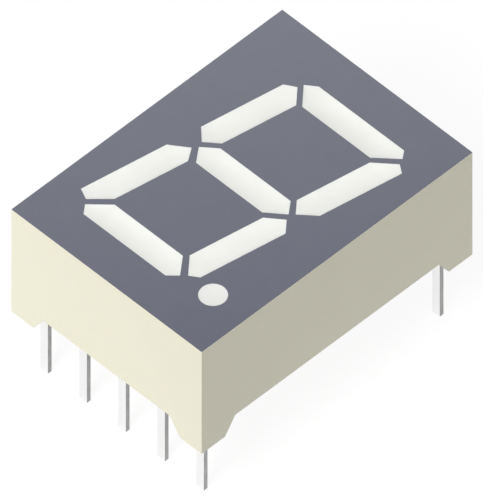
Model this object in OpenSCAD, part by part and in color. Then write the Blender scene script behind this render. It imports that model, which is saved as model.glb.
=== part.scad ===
// Single digit seven segment LED display with a decimal point and ten pins in two rows.
// A moulded reflector housing has eight tapered light wells over eight LED chips. Each well
// is filled with milky epoxy, and a printed layer masks the face between the windows.
// Millimetres. The origin is at the middle of the pin pattern, in the plane that the feet
// stand on. +X is the reader's right, +Y is the top of the digit and +Z comes out of the face.

/* [Housing] */
// Distance from the middle of the end pins to the sides of the housing
side_margin = 1.12; // [1.05:0.01:2]
// Distance from the middle of each row of pins to the top or bottom of the housing
end_margin = 1.13; // [1.05:0.01:2]
// Depth from the bottom of the feet to the face
housing_d = 7.0; // [6:0.1:9]
// Thickness of the side walls
wall_t = 0.5; // [0.4:0.05:0.55]
// Thickness of the moulding over the hollows inside the two loops
face_t = 1.0; // [0.6:0.1:1.5]
// Thickness left between a hollow and the windows around it
web_t = 0.55; // [0.3:0.05:0.8]
// Thickness of the printed layer on the face
mask_t = 0.05; // [0.02:0.01:0.1]

/* [Feet] */
// Height of the feet below the edge of the side walls
foot_h = 0.98; // [0.4:0.02:1.5]
// Length of a foot along the top or bottom wall, where it stands
foot_w = 1.42; // [1:0.02:2.5]
// Length of a foot along a side wall, where it stands
foot_l = 1.52; // [1:0.02:2.5]
// Length of the slope that leads from a foot up to the edge of the wall
foot_slope = 0.66; // [0.2:0.02:1]

/* [Digit] */
// Width of the upright digit over its outer edges
digit_w = 7.74; // [7:0.02:8.2]
// Height of the digit over its outer edges
digit_h = 13.2; // [12:0.1:13.6]
// Width of a segment
segment_w = 1.42; // [1.1:0.02:1.6]
// Gap between neighbouring segments, along each axis
segment_gap = 0.24; // [0.16:0.02:0.4]
// Slant of the digit from upright, in degrees
slant = 10; // [0:1:12]
// Corner cut off the tips of the top and bottom segments, across them and along them
bar_nick = [0.42, 0.42]; // [0.2:0.02:0.5]
// Corner cut off the outer tips of the upright segments, across them and along them
upright_nick = [0.53, 0.32]; // [0.2:0.02:0.6]
// Unit length by which the corners of a window move from their regular places
corner_shift = 0.1; // [0:0.01:0.12]
// Diameter of the decimal point
point_d = 1.38; // [1.1:0.02:1.6]
// Gap between the line of the right segments and the decimal point
point_gap = 0.54; // [0.4:0.01:0.6]

/* [Light wells] */
// Width of a segment's well at the board
well_w = 0.9; // [0.7:0.05:1]
// Half the straight length of a segment's well at the board
well_l = 0.5; // [0.3:0.05:0.8]
// Diameter of the decimal point's well at the board
point_well_d = 1.2; // [1.05:0.05:1.3]

/* [Board] */
// Thickness of the circuit board
board_t = 0.8; // [0.6:0.1:1.2]
// Clearance between the edge of the board and the side walls
board_gap = 0.05; // [0.03:0.01:0.1]
// Thickness of the copper
copper_t = 0.035; // [0.018:0.001:0.07]
// Width of the copper tracks
track_w = 0.3; // [0.2:0.05:0.4]
// Side of the square copper pad under a chip
chip_pad_w = 0.5; // [0.4:0.05:0.6]
// Side of the square copper pad under the far end of a bond wire
bond_pad_w = 0.35; // [0.25:0.05:0.4]
// Width of the copper ring around each pin's hole
ring_w = 0.14; // [0.1:0.01:0.18]
// Thickness of the epoxy behind the board
fill_t = 0.7; // [0.4:0.1:1]
// Depth of the epoxy's surface inside the edge of the side walls
fill_recess = 0.2; // [0.1:0.05:0.4]

/* [Chips and bond wires] */
// Side of an LED chip
chip_w = 0.3; // [0.2:0.01:0.35]
// Height of an LED chip
chip_h = 0.2; // [0.1:0.01:0.25]
// Distance of a chip from the middle of its well
chip_shift = 0.3; // [0.25:0.01:0.35]
// Distance of a wire's far end from the middle of its well
bond_shift = 0.35; // [0.3:0.01:0.4]
// Diameter of a bond wire
wire_d = 0.04; // [0.03:0.005:0.05]
// Straight length of a bond wire above the chip
wire_rise = 0.05; // [0.02:0.01:0.2]

/* [Pins] */
// Width of a pin, along the row
pin_w = 0.5; // [0.4:0.02:0.56]
// Thickness of a pin, across the row
pin_t = 0.25; // [0.2:0.01:0.3]
// Length of a pin below the feet
pin_l = 4.0; // [2.5:0.1:15]
// Distance between neighbouring pins of a row
pin_pitch = 2.54; // [2.5:0.01:2.8]
// Distance from the top or bottom of the digit out to the middle of a row of pins
row_gap = 1.02; // [0.9:0.01:1.5]
// Clearance around a pin's corners in its hole through the board
pin_clear = 0.03; // [0.02:0.01:0.05]
// Length of a pin above the copper
pin_up = 0.35; // [0.3:0.05:0.5]
// Height of the solder around a pin, above the copper
solder_h = 0.25; // [0.15:0.01:0.28]
// Width of the trough in the housing on each side of a row of pins
trough_w = 0.6; // [0.5:0.05:0.65]
// Clearance between the top of the pins and the trough
trough_gap = 0.3; // [0.1:0.05:0.5]

/* [Hidden] */
// Each light: its name, whether it stands upright, the side of the digit that it is on, to
// the right and to the top, the way that its bond wire runs along it, and its pin. The
// lights have axes of their own: "along" runs away from the middle of the digit, and
// "across" away from the inside of the loop.
LIGHTS = [
    ["a", false, 1, 1, 1, 7],
    ["b", true, 1, 1, 1, 6],
    ["c", true, 1, -1, 1, 4],
    ["d", false, 1, -1, -1, 2],
    ["e", true, -1, -1, 1, 1],
    ["f", true, -1, 1, 1, 9],
    ["g", false, 1, 0, -1, 10],
    ["point", false, 1, -1, 1, 5]
];
function light_name(i) = LIGHTS[i][0];
function upright(i) = LIGHTS[i][1];
function to_right(i) = LIGHTS[i][2];
function to_top(i) = LIGHTS[i][3];
function wire_way(i) = LIGHTS[i][4];
function light_pin(i) = LIGHTS[i][5];
function light(name) = search([name], LIGHTS)[0];

// How far the corners of each segment's window lie from their regular places, in units of
// corner_shift: the inner corner, the tip and the outer corner outward along the segment, and
// then the tip outward across it. Each segment has its far end first, then its near end.
CORNER_SHIFTS = [
    [[0, -0.7, -0.4, 0], [0, 0.9, 0.2, 0]],
    [[0.2, 0.3, 0.2, 0], [0, -0.5, -0.7, 0]],
    [[0, 0.4, 0.4, 1.1], [0.4, 0.1, 0.8, 0.3]],
    [[0.8, 0.2, 0.5, -0.5], [-0.6, -2.5, -2.9, -0.5]],
    [[0, 0.4, 0.8, -1.3], [0.5, 0.4, 0.7, -1.2]],
    [[1.1, 0.5, 0.2, 0.1], [-0.2, -1.4, -0.7, -0.9]],
    [[-0.5, 0.5, 1.2, 0.6], [-0.6, -0.3, 0.3, 0.7]]
];
TOP = light("a");
BOTTOM = light("d");
MIDDLE = light("g");
POINT = light("point");

PIN_COUNT = 10;
PINS_PER_ROW = PIN_COUNT / 2;

$fn = 32;
cut = 1; // how far a cutting solid runs past the face that it opens

// Layers, from the feet up
wall_z = foot_h;
fill_z = wall_z + fill_recess;
board_z = fill_z + fill_t;
copper_z = board_z + board_t;
seat_z = copper_z + copper_t;
mask_z = housing_d - mask_t;

// The two rows of pins, and the housing around them
row_spacing = digit_h + 2 * row_gap;
housing_w = (PINS_PER_ROW - 1) * pin_pitch + 2 * side_margin;
housing_h = row_spacing + 2 * end_margin;

// The recess in the back of the housing, which the board and the potting fill
recess_w = housing_w - 2 * wall_t;
recess_h = housing_h - 2 * wall_t;

// Holes and copper rings of the pins
pin_hole_d = norm([pin_w, pin_t]) + 2 * pin_clear;
ring_d = pin_hole_d + 2 * ring_w;

// Middle lines of the outer segments of the upright digit, and the ends of the straight edges
upright_u = (digit_w - segment_w) / 2;
bar_v = (digit_h - segment_w) / 2;
bar_end = digit_w / 2 - segment_w - segment_gap;
upright_start = segment_w / 2 + segment_gap;
upright_end = digit_h / 2 - segment_w - segment_gap;
well_scale = well_w / segment_w;

// A place on the slanted digit, from its place on the upright one
function slanted(p) = [p.x + p.y * tan(slant), p.y];

// A place on the face, from a place along and across light i
function place(i, p) =
    upright(i)
        ? slanted([to_right(i) * (upright_u + p.y), to_top(i) * p.x])
        : slanted([p.x, i == MIDDLE ? p.y : to_top(i) * (bar_v + p.y)]);

// Corners of a segment's end, from its inner edge to its outer edge, as lengths past the end
// of the inner edge and places across the segment
function pointed_end() = [[0, -segment_w / 2], [segment_w / 2, 0], [0, segment_w / 2]];
function mitred_end(nick) = [
    [0, -segment_w / 2],
    [segment_w - nick.x, segment_w / 2 - nick.x],
    [segment_w - nick.x - nick.y, segment_w / 2]
];

// Both ends of light i's inner edge at the face, and the corners past each of them
function far_edge(i) = upright(i) ? upright_end : bar_end;
function near_edge(i) = upright(i) ? upright_start : -bar_end;
function far_end(i) =
    (upright(i) ? mitred_end(upright_nick) : bar_tip(i)) + shifts(CORNER_SHIFTS[i][0]);
function near_end(i) = (upright(i) ? pointed_end() : bar_tip(i)) + shifts(CORNER_SHIFTS[i][1]);
function bar_tip(i) = i == MIDDLE ? pointed_end() : mitred_end(bar_nick);
function shifts(units) =
    let (inner = units[0], tip = units[1], outer = units[2], tip_across = units[3])
    corner_shift * [[inner, 0], [tip, tip_across], [outer, 0]];
function middle(i) = (far_edge(i) + near_edge(i)) / 2;

// Outline of light i: its ends scaled by k at the two given places along it
function outline(i, near, far, k) = anticlockwise([
    for (p = far_end(i)) place(i, [far + k * p.x, k * p.y]),
    for (p = reversed(near_end(i))) place(i, [near - k * p.x, k * p.y])
]);
function window(i) = outline(i, near_edge(i), far_edge(i), 1);
function well_foot(i) = outline(i, middle(i) - well_l, middle(i) + well_l, well_scale);

function reversed(list) = [for (i = [len(list) - 1:-1:0]) list[i]];
function turn(p, q) = p.x * q.y - p.y * q.x;
function anticlockwise(points) =
    let (n = len(points))
    let (area = sumof([for (i = [0:n - 1]) turn(points[i], points[(i + 1) % n])]))
    area < 0 ? reversed(points) : points;
function sumof(list) = list * [for (x = list) 1];

// Middle of the decimal point, level with the bottom segment
point_at = slanted([digit_w / 2 + point_gap + point_d / 2, -bar_v]);

// Places of a light's chip and of the far end of its bond wire
function along(i, shift) =
    i == POINT
        ? point_at + [shift, 0]
        : place(i, [middle(i) + wire_way(i) * shift, 0]);
function chip_at(i) = along(i, -chip_shift);
function bond_at(i) = along(i, bond_shift);

// Place of pin n: pin 1 is at the lower left, and the numbers run anticlockwise
function middle_pin() = (PINS_PER_ROW + 1) / 2;
function pin_at(n) =
    let (in_row = n <= PINS_PER_ROW ? n : PIN_COUNT + 1 - n)
    let (side = n <= PINS_PER_ROW ? -1 : 1)
    [(in_row - middle_pin()) * pin_pitch, side * row_spacing / 2];

// Solid between two outlines of the same number of corners, one above the other
module loft(lower, lower_z, upper, upper_z) {
    n = len(lower);
    polyhedron(
        points = concat(
            [for (p = lower) [p.x, p.y, lower_z]],
            [for (p = upper) [p.x, p.y, upper_z]]
        ),
        faces = concat(
            [[for (i = [0:n - 1]) i], [for (i = [n - 1:-1:0]) n + i]],
            [for (i = [0:n - 1]) [i, n + i, n + (i + 1) % n, (i + 1) % n]]
        )
    );
}

// Flat-sided prism on an outline, from one height to another
module prism(points, low, high) {
    translate([0, 0, low]) linear_extrude(high - low) polygon(points);
}

// Block centred on the Z axis, from one height to another
module block(w, h, low, high) {
    translate([-w / 2, -h / 2, low]) cube([w, h, high - low]);
}

// The space of light i, from the board out to a height above the start of the mask
module well(i, top) {
    if (i == POINT) {
        translate([point_at.x, point_at.y, seat_z])
            cylinder(h = mask_z - seat_z, d1 = point_well_d, d2 = point_d);
        translate([point_at.x, point_at.y, mask_z]) cylinder(h = top - mask_z, d = point_d);
    } else {
        loft(well_foot(i), seat_z, window(i), mask_z);
        prism(window(i), mask_z, top);
    }
}

// Prism across the housing that leaves a foot at each end of a wall of the given length
module foot_gap(wall, foot, across) {
    half = wall / 2 - foot;
    rotate([90, 0, 0])
        translate([0, 0, -across])
            linear_extrude(2 * across)
                polygon([
                    [-half - cut * foot_slope / foot_h, -cut],
                    [half + cut * foot_slope / foot_h, -cut],
                    [half - foot_slope, foot_h],
                    [foot_slope - half, foot_h]
                ]);
}

// Hollow inside the upper or lower loop, clear of the windows around it
module loop_hollow(side) {
    u = digit_w / 2 - segment_w - web_t;
    v_low = segment_w / 2 + web_t;
    v_high = digit_h / 2 - segment_w - web_t;
    corners = [[-u, v_low], [u, v_low], [u, v_high], [-u, v_high]];
    prism(
        anticlockwise([for (p = corners) slanted([p.x, side * p.y])]),
        seat_z - cut,
        housing_d - face_t
    );
}

// Reflector housing: one moulding with the side walls, the feet and the eight wells
module housing() {
    color("ivory")
        difference() {
            block(housing_w, housing_h, 0, mask_z);
            block(recess_w, recess_h, -cut, seat_z);
            foot_gap(housing_w, foot_w, housing_h);
            rotate([0, 0, 90]) foot_gap(housing_h, foot_l, housing_w);
            for (i = [0:POINT]) well(i, mask_z + cut);
            for (side = [-1, 1]) {
                loop_hollow(side);
                pin_trough(side);
            }
        }
}

// Trough over one row of pins, from beside the wells out to the side wall
module pin_trough(side) {
    inner = row_spacing / 2 - trough_w;
    outer = recess_h / 2;
    translate([0, side * (inner + outer) / 2, 0])
        block(recess_w, outer - inner, seat_z - cut, seat_z + pin_up + trough_gap);
}

// Layer of ink on the face, open over each well
module face_mask() {
    color("slategray")
        difference() {
            block(housing_w, housing_h, mask_z, housing_d);
            for (i = [0:POINT]) well(i, housing_d + cut);
        }
}

// Epoxy cast in a light's well around its chip and bond wire, flush with the face
module light_casting(i) {
    color("whitesmoke")
        difference() {
            well(i, housing_d);
            chip(i);
            bond_wire(i);
        }
}

// Square LED chip on its copper pad
module chip(i) {
    color("gold")
        translate([chip_at(i).x, chip_at(i).y, 0]) block(chip_w, chip_w, seat_z, seat_z + chip_h);
}

// Wire that rises from the chip, arches over and comes down on the bond pad
module bond_wire(i) {
    span = bond_at(i) - chip_at(i);
    radius = norm(span) / 2;
    arch_z = chip_h + wire_rise;
    color("goldenrod")
        translate([chip_at(i).x, chip_at(i).y, seat_z])
            rotate([0, 0, atan2(span.y, span.x)]) {
                translate([0, 0, chip_h]) cylinder(h = wire_rise, d = wire_d);
                translate([2 * radius, 0, 0]) cylinder(h = arch_z, d = wire_d);
                translate([radius, 0, arch_z])
                    rotate([90, 0, 0])
                        rotate_extrude(angle = 180)
                            translate([radius, 0]) circle(d = wire_d);
            }
}

// Round holes for all the pins, as flat shapes
module pin_holes() {
    for (n = [1:PIN_COUNT]) translate(pin_at(n)) circle(d = pin_hole_d);
}

// Circuit board, cut from glass-filled laminate, with a round hole for each pin
module circuit_board() {
    color("seagreen")
        translate([0, 0, board_z])
            linear_extrude(board_t)
                difference() {
                    square([recess_w - 2 * board_gap, recess_h - 2 * board_gap], center = true);
                    pin_holes();
                }
}

// Straight stretch of track with round ends
module track(from, to) {
    run = to - from;
    translate(from) circle(d = track_w);
    translate(to) circle(d = track_w);
    translate(from)
        rotate(atan2(run.y, run.x))
            translate([0, -track_w / 2]) square([norm(run), track_w]);
}

// Track that leaves one place across the board and reaches the other along it
module bent_track(from, to) {
    corner = [to.x, from.y];
    track(from, corner);
    track(corner, to);
}

// Copper on the front of the board. The common line joins the chips to the middle pins, and
// each bond pad has its own line to its pin.
module copper_tracks() {
    chips = [for (i = [TOP, MIDDLE, BOTTOM]) chip_at(i)];
    common = concat([pin_at(PIN_COUNT + 1 - middle_pin())], chips, [pin_at(middle_pin())]);
    color("peru")
        translate([0, 0, copper_z])
            linear_extrude(copper_t)
                difference() {
                    union() {
                        for (k = [1:len(common) - 1]) track(common[k - 1], common[k]);
                        track(chip_at(light("b")), chip_at(light("f")));
                        track(chip_at(light("c")), chip_at(light("e")));
                        bent_track(chip_at(light("c")), chip_at(POINT));
                        for (i = [0:POINT]) {
                            bent_track(bond_at(i), pin_at(light_pin(i)));
                            translate(chip_at(i)) square(chip_pad_w, center = true);
                            translate(bond_at(i)) square(bond_pad_w, center = true);
                        }
                        for (n = [1:PIN_COUNT]) translate(pin_at(n)) circle(d = ring_d);
                    }
                    pin_holes();
                }
}

// Flat pin n, straight from its cut tip up through the potting and the board
module pin(n) {
    color("silver")
        translate([pin_at(n).x, pin_at(n).y, 0]) block(pin_w, pin_t, -pin_l, seat_z + pin_up);
}

// Solder that fills each hole in the board and forms a cone around the top of its pin
module solder_joints() {
    color("lightgray")
        for (n = [1:PIN_COUNT])
            difference() {
                translate([pin_at(n).x, pin_at(n).y, 0]) {
                    translate([0, 0, board_z]) cylinder(h = seat_z - board_z, d = pin_hole_d);
                    translate([0, 0, seat_z]) cylinder(h = solder_h, d1 = ring_d, d2 = pin_hole_d);
                }
                pin(n);
            }
}

// Epoxy that seals the back of the housing around the pins
module potting() {
    color("lightyellow")
        difference() {
            block(recess_w, recess_h, fill_z, board_z);
            for (n = [1:PIN_COUNT]) pin(n);
        }
}

housing();
face_mask();
for (i = [0:POINT - 1])
    light_casting(i);
light_casting(POINT);  // decimal_point
circuit_board();
copper_tracks();
for (i = [0:POINT]) {
    chip(i);
    bond_wire(i);
}
for (n = [1:PIN_COUNT]) pin(n);
solder_joints();
potting();
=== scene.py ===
from math import cos, exp, radians, sin

import bmesh
import bpy
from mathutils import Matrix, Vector


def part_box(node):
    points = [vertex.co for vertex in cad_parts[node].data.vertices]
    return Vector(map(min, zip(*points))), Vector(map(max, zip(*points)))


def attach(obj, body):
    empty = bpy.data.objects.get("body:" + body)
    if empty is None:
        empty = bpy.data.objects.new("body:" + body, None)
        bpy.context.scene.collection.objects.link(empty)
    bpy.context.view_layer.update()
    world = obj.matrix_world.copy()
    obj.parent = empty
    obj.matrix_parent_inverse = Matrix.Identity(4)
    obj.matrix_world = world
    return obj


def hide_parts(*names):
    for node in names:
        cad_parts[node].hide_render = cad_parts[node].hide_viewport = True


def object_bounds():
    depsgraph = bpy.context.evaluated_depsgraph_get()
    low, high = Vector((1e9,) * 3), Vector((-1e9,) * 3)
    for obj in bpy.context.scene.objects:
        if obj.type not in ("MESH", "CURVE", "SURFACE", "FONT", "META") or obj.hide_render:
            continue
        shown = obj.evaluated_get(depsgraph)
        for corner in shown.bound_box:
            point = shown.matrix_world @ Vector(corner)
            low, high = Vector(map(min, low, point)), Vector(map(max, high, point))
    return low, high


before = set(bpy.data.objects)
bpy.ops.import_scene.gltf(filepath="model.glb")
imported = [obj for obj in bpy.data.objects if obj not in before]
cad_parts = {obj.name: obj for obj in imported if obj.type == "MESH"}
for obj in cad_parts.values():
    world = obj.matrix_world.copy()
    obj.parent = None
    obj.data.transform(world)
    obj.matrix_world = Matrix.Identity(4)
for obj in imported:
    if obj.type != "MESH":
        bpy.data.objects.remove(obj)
cad_low, cad_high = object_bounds()

# ---- Housing ----
# One moulding in ivory thermoplastic: four side walls on four short feet, and a thick face
# with the light wells in it. It comes out of a polished steel mould, so the walls have faint
# draw marks and the corners are only just rounded.

WALL_CORNER = 0.000015  # radius of the rounded corners
LEVEL = 0.000001  # places closer than this are level with each other
SAME_PLACE = 0.0000001
SAME_PLANE = radians(0.5)
CORNER_ANGLE = radians(30)
CREASE_ANGLE = radians(35)
WIDE_FACE = 0.0000005  # in square metres
PATTERN_LOW, PATTERN_HIGH = 0.3, 0.7  # most of a soft pattern lies between these


def whole_faces(node):
    """A CAD node's shape as editable geometry, with each flat face in one piece."""
    shape = bmesh.new()
    shape.from_mesh(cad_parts[node].data)
    bmesh.ops.remove_doubles(shape, verts=shape.verts, dist=SAME_PLACE)
    bmesh.ops.dissolve_limit(
        shape, angle_limit=SAME_PLANE, verts=shape.verts, edges=shape.edges
    )
    return shape


def corners_of(shape):
    """The edges where two faces meet in a corner, outward or inward."""
    return [
        e
        for e in shape.edges
        if len(e.link_faces) == 2 and e.calc_face_angle(0) > CORNER_ANGLE
    ]


def on_sides(edge, outermost, axis, near=LEVEL):
    """Whether an edge lies in one of the two outer sides across an axis."""
    return all(abs(v.co[axis]) > outermost[axis] - near for v in edge.verts)


def round_edges(shape, edges, radius, segments):
    """Rounds the given edges."""
    bmesh.ops.bevel(
        shape,
        geom=edges,
        offset=radius,
        offset_type="OFFSET",
        affect="EDGES",
        segments=segments,
        profile=0.5,
        material=-1,
        clamp_overlap=True,
    )


def make_piece(name, node, shape, materials, wide_flat=True):
    """The piece that stands for a CAD node. Its wide faces may be flat. The others are smooth,
    except where two meet in a crease."""
    for face in shape.faces:
        face.smooth = not wide_flat or face.calc_area() < WIDE_FACE
    for edge in shape.edges:
        if len(edge.link_faces) == 2 and edge.calc_face_angle(0) > CREASE_ANGLE:
            edge.smooth = False
    bmesh.ops.recalc_face_normals(shape, faces=shape.faces)
    mesh = bpy.data.meshes.new(name)
    shape.to_mesh(mesh)
    shape.free()
    for material in materials:
        mesh.materials.append(material)
    piece = bpy.data.objects.new(name, mesh)
    bpy.context.scene.collection.objects.link(piece)
    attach(piece, "root")
    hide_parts(node)


def fill_in(node, values):
    """Gives a node's inputs their values, or joins them to another node's output."""
    for key, value in values.items():
        if isinstance(value, bpy.types.NodeSocket):
            node.id_data.links.new(value, node.inputs[key])
        else:
            node.inputs[key].default_value = value


def new_material(name, values):
    """A material, and the node of its surface with the given values."""
    material = bpy.data.materials.new(name)
    material.use_nodes = True
    surface = material.node_tree.nodes["Principled BSDF"]
    fill_in(surface, values)
    return material, surface


def dress(surface, tone, roughness, relief):
    """Gives a surface its tone, its roughness and its relief."""
    fill_in(surface, {"Base Color": tone, "Roughness": roughness, "Normal": relief})


def add_node(material, kind, values, **options):
    """One more node in a material or a world."""
    node = material.node_tree.nodes.new(kind)
    for key, value in options.items():
        setattr(node, key, value)
    fill_in(node, values)
    return node


def place_in(material, stretch=(1, 1, 1)):
    """The place on the object, stretched along each axis."""
    place = add_node(material, "ShaderNodeTexCoord", {}).outputs["Object"]
    return add_node(
        material, "ShaderNodeMapping", {"Vector": place, "Scale": stretch}
    ).outputs["Vector"]


def noise_in(material, scale, detail=3.0, stretch=(1, 1, 1)):
    """A soft pattern. The scale is in patches a metre."""
    return add_node(
        material,
        "ShaderNodeTexNoise",
        {"Vector": place_in(material, stretch), "Scale": scale, "Detail": detail},
    ).outputs["Fac"]


def drift_in(material, start, way, patches, share):
    """A slow change across the object, with soft patches. It starts at the origin, and way is
    its change a metre along each axis."""
    steady = add_node(
        material,
        "ShaderNodeVectorMath",
        {0: place_in(material), 1: way},
        operation="DOT_PRODUCT",
    ).outputs["Value"]
    patchy = add_node(
        material,
        "ShaderNodeMath",
        {0: noise_in(material, patches, detail=4.0), 1: share, 2: start - share / 2},
        operation="MULTIPLY_ADD",
    ).outputs["Value"]
    return add_node(
        material, "ShaderNodeMath", {0: steady, 1: patchy}, operation="ADD"
    ).outputs["Value"]


def run_of_tones(material, pattern, stops):
    """Colours that follow a pattern. Each stop is a place from 0 to 1 and a colour."""
    ramp = add_node(material, "ShaderNodeValToRGB", {"Fac": pattern})
    for mark, (at, tone) in zip(ramp.color_ramp.elements, stops):
        mark.position = at
        mark.color = (*tone, 1)
    return ramp.outputs["Color"]


def run_of_values(material, pattern, low, high):
    """A value that follows a soft pattern, from low to high."""
    return add_node(
        material,
        "ShaderNodeMapRange",
        {
            "Value": pattern,
            "From Min": PATTERN_LOW,
            "From Max": PATTERN_HIGH,
            "To Min": low,
            "To Max": high,
        },
    ).outputs["Result"]


def bumps(material, height, depth, strength=1.0, under=None):
    """Raised and sunken places, with the depth in metres, on top of those under them."""
    values = {"Height": height, "Distance": depth, "Strength": strength}
    if under is not None:
        values["Normal"] = under
    return add_node(material, "ShaderNodeBump", values).outputs["Normal"]


ivory, surface = new_material("ivory_plastic", {"IOR": 1.5, "Specular IOR Level": 0.35})
# The ivory's tone has soft random patches. On top of them is painted shade: a steady drift
# that makes it lighter towards -X and +Y and darker towards the top.
mottle_and_painted_shade = drift_in(ivory, start=0.43, way=(-15.0, 6.0, -12.0), patches=260, share=0.12)
draw_marks = noise_in(ivory, 9000, detail=2.0, stretch=(1, 1, 0.1))
steel_grain = bumps(ivory, noise_in(ivory, 16000, detail=2.0), depth=0.000004)
dress(
    surface,
    tone=run_of_tones(
        ivory, mottle_and_painted_shade, [(0.0, (0.714, 0.693, 0.562)), (1.0, (0.966, 0.937, 0.760))]
    ),
    roughness=run_of_values(ivory, noise_in(ivory, 900), 0.46, 0.60),
    relief=bumps(ivory, draw_marks, depth=0.000004, under=steel_grain),
)

shape = whole_faces("housing")
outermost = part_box("housing")[1]
wall_corners = [
    e
    for e in corners_of(shape)
    if min(v.co.z for v in e.verts) < outermost.z - LEVEL
    and (on_sides(e, outermost, 0) or on_sides(e, outermost, 1))
]
round_edges(shape, wall_corners, WALL_CORNER, segments=3)
make_piece("housing_body", "housing", shape, [ivory])

# ---- Printed face ----
# Matt blue-grey ink, screen printed on the face right up to its edges, so that light leaves
# only through the eight windows. The screen leaves a fine even grain in it. The thin edge
# under the ink is bare plastic.

INK_RIM = 0.000015  # radius of the ink's edge
INK_GRAIN = 0.000007  # depth of the grain
STEEP = 0.3  # a face that looks up less than this is part of the edge

ink, surface = new_material("face_ink", {"IOR": 1.45, "Specular IOR Level": 0.25})
# The ink's tone has soft random patches, with a painted sheen on top: a steady drift that
# makes it lighter towards -X and +Y.
coat_and_painted_sheen = drift_in(ink, start=0.51, way=(-26.0, 18.5, 0.0), patches=900, share=0.16)
screen_dots = add_node(
    ink,
    "ShaderNodeTexVoronoi",
    {"Vector": place_in(ink), "Scale": 9000.0, "Randomness": 0.35},
).outputs["Distance"]
pigment = bumps(ink, noise_in(ink, 14000, detail=2.0), INK_GRAIN)
dress(
    surface,
    tone=run_of_tones(
        ink, coat_and_painted_sheen, [(0.0, (0.106, 0.110, 0.146)), (1.0, (0.188, 0.195, 0.235))]
    ),
    roughness=run_of_values(ink, noise_in(ink, 3000), 0.55, 0.68),
    relief=bumps(ink, screen_dots, INK_GRAIN, strength=0.7, under=pigment),
)

shape = whole_faces("face_mask")
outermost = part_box("face_mask")[1]
upright_corners = [
    e
    for e in corners_of(shape)
    if abs(e.verts[0].co.z - e.verts[1].co.z) > LEVEL and on_sides(e, outermost, 0)
]
round_edges(shape, upright_corners, WALL_CORNER, segments=3)
rim = [
    e
    for e in corners_of(shape)
    if min(v.co.z for v in e.verts) > outermost.z - LEVEL
    and any(on_sides(e, outermost, axis, near=2 * WALL_CORNER) for axis in (0, 1))
]
round_edges(shape, rim, INK_RIM, segments=2)
for face in shape.faces:
    if face.normal.z < STEEP:
        face.material_index = 1
make_piece("face_print", "face_mask", shape, [ink, ivory])

# ---- Circuit board ----
# Glass cloth in green epoxy, punched from sheet and laid over the wells from the back of the
# housing. The weave shows through as a fine square grid.

laminate, surface = new_material("board_laminate", {"IOR": 1.5})
threads = [
    add_node(
        laminate,
        "ShaderNodeTexWave",
        {"Vector": place_in(laminate), "Scale": 700.0, "Distortion": 0.4},
        bands_direction=way,
    ).outputs["Fac"]
    for way in ("X", "Y")
]
cloth = add_node(
    laminate, "ShaderNodeMath", {0: threads[0], 1: threads[1]}, operation="MULTIPLY"
).outputs["Value"]
dress(
    surface,
    tone=run_of_tones(laminate, cloth, [(0.0, (0.05, 0.16, 0.07)), (1.0, (0.10, 0.26, 0.12))]),
    roughness=run_of_values(laminate, noise_in(laminate, 1200), 0.35, 0.50),
    relief=bumps(laminate, cloth, depth=0.00001),
)


def paint(nodes, material):
    """Gives CAD nodes their material."""
    for node in nodes:
        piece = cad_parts[node]
        piece.data.materials.clear()
        piece.data.materials.append(material)


paint(["circuit_board"], laminate)

# ---- Copper, chips and bond wires ----
# Sealed between the board and the wells: lines etched from copper foil, a chip glued on its
# pad at the bottom of each well, and a gold wire bonded from each chip to its line.

SEGMENTS = "abcdefg"
LIGHTS = [*SEGMENTS, "point"]


def metal(
    name, dark, bright, marks, depth, blotches, roughness, detail=3.0, stretch=(1, 1, 1)
):
    """A metal with marks in its tone and relief, and with duller blotches. Both are given as
    patches a metre, and the marks may be finer in detail or stretched."""
    material, surface = new_material(name, {"Metallic": 1.0})
    pattern = noise_in(material, marks, detail, stretch)
    dress(
        surface,
        tone=run_of_tones(material, pattern, [(PATTERN_LOW, dark), (PATTERN_HIGH, bright)]),
        roughness=run_of_values(material, noise_in(material, blotches), *roughness),
        relief=bumps(material, pattern, depth),
    )
    return material


copper = metal(
    "etched_copper",
    dark=(0.62, 0.28, 0.17),
    bright=(0.80, 0.42, 0.28),
    marks=4000,
    depth=0.000002,
    blotches=4000,
    roughness=(0.28, 0.40),
)
crystal = metal(
    "chip_crystal",
    dark=(0.42, 0.34, 0.12),
    bright=(0.58, 0.48, 0.20),
    marks=20000,
    depth=0.0000005,
    blotches=20000,
    roughness=(0.20, 0.32),
)
gold = metal(
    "drawn_gold",
    dark=(0.80, 0.56, 0.20),
    bright=(0.94, 0.70, 0.32),
    marks=60000,
    depth=0.0000004,
    blotches=60000,
    roughness=(0.20, 0.32),
)
paint(["copper_tracks"], copper)
paint(["led_chip_" + light for light in LIGHTS], crystal)
paint(["bond_wire_" + light for light in LIGHTS], gold)

# ---- Pins and solder ----
# Ten flat pins, blanked from tinned copper alloy strip and soldered into the board. The two
# rolled faces keep the bright tin, with fine marks along the pin. The punch leaves the two
# narrow sides duller, and their dark grey tone is painted shade.

PIN_COUNT = 10
PINS = ["pin_" + str(number + 1) for number in range(PIN_COUNT)]
PIN_EDGE = 0.00002  # radius of the pins' edges
SQUARELY = 0.9  # a face that looks along an axis by more than this looks squarely along it

tinned = metal(
    "tinned_pin",
    dark=(0.880, 0.880, 0.880),
    bright=(0.925, 0.925, 0.925),
    marks=5000,
    stretch=(1, 1, 0.03),
    depth=0.000003,
    blotches=1500,
    roughness=(0.18, 0.28),
)
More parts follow.
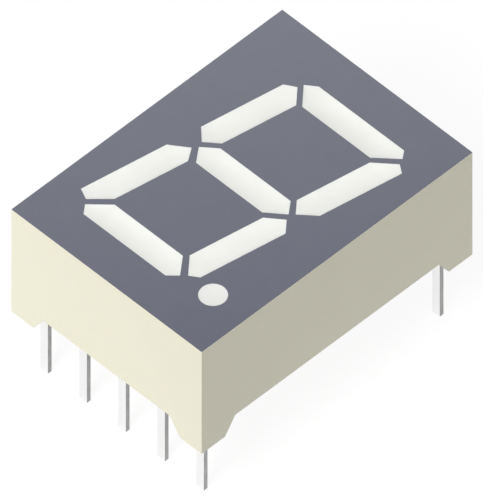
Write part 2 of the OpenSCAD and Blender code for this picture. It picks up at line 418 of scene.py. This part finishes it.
# The narrow sides are rougher from the punch. Their dark grey tone is painted shade.
punched_and_painted_shade = metal(
    "punched_side_painted_shade",
    dark=(0.325, 0.325, 0.325),
    bright=(0.420, 0.420, 0.416),
    marks=7000,
    detail=4.0,
    stretch=(1, 1, 0.2),
    depth=0.000006,
    blotches=3000,
    roughness=(0.50, 0.65),
)
solder = metal(
    "solder",
    dark=(0.56, 0.56, 0.57),
    bright=(0.74, 0.74, 0.75),
    marks=6000,
    depth=0.000004,
    blotches=6000,
    roughness=(0.22, 0.34),
)

for pin in PINS:
    shape = whole_faces(pin)
    round_edges(shape, corners_of(shape), PIN_EDGE, segments=2)
    for face in shape.faces:
        if abs(face.normal.x) > SQUARELY or abs(face.normal.z) > SQUARELY:
            face.material_index = 1
    make_piece(pin + "_blade", pin, shape, [tinned, punched_and_painted_shade])
paint(["solder_joints"], solder)

# ---- Segments and decimal point ----
# Each light well is filled with milky epoxy, poured level with the printed face. As it cures
# it shrinks a little, so its surface clings to the rim of the window and dips between.

BAR_DIP = 0.00008
POINT_DIP = 0.00003
FILM_CELL = 0.00014  # width of the strips that the surface is cut into, each way
FILM_PASSES = 120  # enough for the surface to settle into its shape
FILM_STEP = 0.000001  # how far it sinks in each pass, before it is smoothed


def milky_epoxy(name, dull, clear):
    """Milky epoxy between two tones."""
    material, surface = new_material(
        name,
        {
            "IOR": 1.5,
            "Specular IOR Level": 0.4,
            "Subsurface Weight": 0.15,
            "Subsurface Radius": (1.0, 0.95, 0.85),
            "Subsurface Scale": 0.0003,
        },
    )
    dress(
        surface,
        tone=run_of_tones(material, noise_in(material, 700), [(0.35, dull), (0.65, clear)]),
        roughness=run_of_values(material, noise_in(material, 1600), 0.38, 0.50),
        relief=bumps(material, noise_in(material, 2400, detail=2.0), depth=0.000003),
    )
    return material


def at_height(shape, height):
    """The faces that lie flat at one height."""
    return [f for f in shape.faces if all(abs(v.co.z - height) < LEVEL for v in f.verts)]


def cut_across(shape, height, axis, places):
    """Cuts the faces at one height into strips across an axis."""
    way = Vector((0, 0, 0))
    way[axis] = 1
    for place in places:
        faces = at_height(shape, height)
        edges = list({e for f in faces for e in f.edges})
        verts = list({v for f in faces for v in f.verts})
        bmesh.ops.bisect_plane(
            shape,
            geom=verts + edges + faces,
            dist=SAME_PLACE,
            plane_co=way * place,
            plane_no=way,
        )


def even_places(low, high, spacing):
    """Places between two ends, at even distances of about the given one."""
    count = int((high - low) / spacing)
    return [low + (high - low) * k / count for k in range(1, count)]


def cast_light(name, node, epoxy, dip):
    """One casting, with its surface drawn down like a film that is held by its rim."""
    shape = whole_faces(node)
    low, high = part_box(node)
    for axis in (0, 1):
        cut_across(shape, high.z, axis, even_places(low[axis], high[axis], FILM_CELL))
    film = at_height(shape, high.z)
    rim = {v for f in shape.faces if f not in film for v in f.verts}
    free = list({v for f in film for v in f.verts} - rim)
    for _ in range(FILM_PASSES):
        for v in free:
            v.co.z -= FILM_STEP
        bmesh.ops.smooth_vert(shape, verts=free, factor=1.0, use_axis_z=True)
    deepest = min(v.co.z for v in free)
    for v in free:
        v.co.z = high.z - (high.z - v.co.z) * dip / (high.z - deepest)
    make_piece(name, node, shape, [epoxy])


bar_epoxy = milky_epoxy(
    "milky_epoxy", dull=(0.790, 0.796, 0.757), clear=(0.812, 0.819, 0.780)
)
for letter in SEGMENTS:
    cast_light("segment_" + letter + "_casting", "segment_" + letter, bar_epoxy, BAR_DIP)
# The decimal point has the same milky epoxy as the bars, painted a little darker: painted
# shade.
shaded_point_epoxy = milky_epoxy(
    "milky_epoxy_painted_shade", dull=(0.733, 0.731, 0.714), clear=(0.755, 0.753, 0.736)
)
cast_light("decimal_point_casting", "decimal_point", shaded_point_epoxy, POINT_DIP)

# ---- Potting ----
# The back is flooded with straw-coloured epoxy, which seals the board and grips the pins. It
# creeps a little way up the walls before it sets, and keeps a few tiny bubbles.

CREEP = 0.00013  # how far the epoxy climbs
CREEP_REACH = 0.00030  # the distance in which that falls to about a third
CUTS_BY_WALL = [0.00006, 0.00013, 0.00022, 0.00034, 0.0005, 0.0007, 0.001]
CUTS_BY_PIN = CUTS_BY_WALL[1:5]
CLOSEST_CUTS = 0.00002  # two cuts nearer than this are made one

straw_epoxy, surface = new_material(
    "potting_resin", {"IOR": 1.52, "Specular IOR Level": 0.5, "Coat Weight": 0.3}
)
bubbles = add_node(
    straw_epoxy,
    "ShaderNodeTexVoronoi",
    {"Vector": place_in(straw_epoxy), "Scale": 1500.0},
).outputs["Distance"]
ripple = bumps(straw_epoxy, noise_in(straw_epoxy, 350, detail=1.0), depth=0.00004)
dress(
    surface,
    tone=run_of_tones(
        straw_epoxy,
        noise_in(straw_epoxy, 500),
        [(PATTERN_LOW, (0.60, 0.53, 0.33)), (PATTERN_HIGH, (0.68, 0.62, 0.42))],
    ),
    roughness=run_of_values(straw_epoxy, noise_in(straw_epoxy, 900), 0.14, 0.26),
    relief=bumps(straw_epoxy, bubbles, depth=0.00001, strength=0.3, under=ripple),
)


def distance_from(box, place):
    """How far a place on the back is from the sides of a box."""
    low, high = box
    return Vector([max(low[k] - place[k], 0, place[k] - high[k]) for k in (0, 1)]).length


low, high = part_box("potting")
pin_boxes = [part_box(pin) for pin in PINS]
shape = whole_faces("potting")
for axis in (0, 1):
    places = [low[axis] + d for d in CUTS_BY_WALL] + [high[axis] - d for d in CUTS_BY_WALL]
    for pin_low, pin_high in pin_boxes:
        places += [pin_low[axis] - d for d in CUTS_BY_PIN]
        places += [pin_high[axis] + d for d in CUTS_BY_PIN]
    places = sorted(p for p in places if low[axis] < p < high[axis])
    apart = [
        p for k, p in enumerate(places) if k == 0 or p - places[k - 1] > CLOSEST_CUTS
    ]
    cut_across(shape, low.z, axis, apart)
back_points = {v for f in at_height(shape, low.z) for v in f.verts}
for v in back_points:
    to_wall = min(v.co.x - low.x, high.x - v.co.x, v.co.y - low.y, high.y - v.co.y)
    to_pin = min(distance_from(box, v.co) for box in pin_boxes)
    v.co.z -= CREEP * exp(-min(to_wall, to_pin) / CREEP_REACH)
make_piece(
    "potting_resin_fill", "potting", shape, [straw_epoxy], wide_flat=False
)

# ---- Floor, light and camera ----
# The display stands on its pins on a plain white table, in soft light from all round, with a
# strong square lamp in front and a weak one behind. The camera looks down on one corner of
# it, with no perspective.

TABLE_SIZE = 0.6
TABLE_GLOW = 0.93  # the share of the table's white that no shadow darkens
ROOM_LIGHT = 0.19
AZIMUTH = radians(45.25)
ELEVATION = radians(48.04)
VIEW_SPAN = 0.022936
CAMERA_DISTANCE = 0.2
CAMERA_RAISE = 0.000505  # the camera aims this far above the middle of the display
CAMERA_SHIFT = -0.00002  # and this far to the right of it
WHITE = (1, 1, 1, 1)


def seen_in(background):
    """1 where the camera, a mirror or glass looks at a background, and 0 where it only lights
    the display."""
    paths = add_node(background, "ShaderNodeLightPath", {}).outputs
    seen = paths["Is Camera Ray"]
    for kind in ("Is Glossy Ray", "Is Transmission Ray"):
        seen = add_node(
            background, "ShaderNodeMath", {0: seen, 1: paths[kind]}, operation="MAXIMUM"
        ).outputs["Value"]
    return seen


bpy.ops.mesh.primitive_plane_add(size=TABLE_SIZE, location=(0, 0, cad_low.z))
floor = bpy.context.active_object
floor.name = "floor"
table, surface = new_material(
    "table_top",
    {"Base Color": (0.44, 0.44, 0.44, 1), "Roughness": 1.0, "Specular IOR Level": 0.0},
)
glow = add_node(table, "ShaderNodeEmission", {"Color": WHITE, "Strength": 1.0})
chalk = add_node(table, "ShaderNodeBsdfDiffuse", {"Color": WHITE})
white_top = add_node(
    table,
    "ShaderNodeMixShader",
    {0: TABLE_GLOW, 1: chalk.outputs["BSDF"], 2: glow.outputs["Emission"]},
)
top = add_node(
    table,
    "ShaderNodeMixShader",
    {0: seen_in(table), 1: surface.outputs["BSDF"], 2: white_top.outputs["Shader"]},
)
fill_in(table.node_tree.nodes["Material Output"], {"Surface": top.outputs["Shader"]})
floor.data.materials.append(table)

room = bpy.data.worlds.new("studio")
bpy.context.scene.world = room
room.use_nodes = True
strength = add_node(
    room,
    "ShaderNodeMapRange",
    {"Value": seen_in(room), "To Min": ROOM_LIGHT, "To Max": 1.0},
)
fill_in(
    room.node_tree.nodes["Background"],
    {"Color": WHITE, "Strength": strength.outputs["Result"]},
)


def lamp(name, place, power, size):
    """A square lamp that faces the display, with its power in watts."""
    light = bpy.data.lights.new(name, "AREA")
    light.energy = power
    light.size = size
    holder = bpy.data.objects.new(name, light)
    bpy.context.scene.collection.objects.link(holder)
    holder.location = place
    holder.rotation_mode = "QUATERNION"
    holder.rotation_quaternion = (-Vector(place)).to_track_quat("-Z", "Y")


lamp("key", place=(0.118, -0.478, 0.575), power=6.55, size=0.26)
lamp("fill", place=(0.42, 0.56, 0.26), power=0.75, size=0.3)

back = Vector(
    (sin(AZIMUTH) * cos(ELEVATION), -cos(AZIMUTH) * cos(ELEVATION), sin(ELEVATION))
)
side = Vector((cos(AZIMUTH), sin(AZIMUTH), 0))
above = back.cross(side)
lens = bpy.data.cameras.new("camera")
lens.type = "ORTHO"
lens.ortho_scale = VIEW_SPAN
lens.clip_start = 0.01
lens.clip_end = 2.0
camera = bpy.data.objects.new("camera", lens)
bpy.context.scene.collection.objects.link(camera)
camera.location = (
    (cad_low + cad_high) / 2
    + above * CAMERA_RAISE
    + side * CAMERA_SHIFT
    + back * CAMERA_DISTANCE
)
camera.rotation_mode = "QUATERNION"
camera.rotation_quaternion = back.to_track_quat("Z", "Y")
bpy.context.scene.camera = camera
bpy.context.scene.view_settings.view_transform = "Standard"
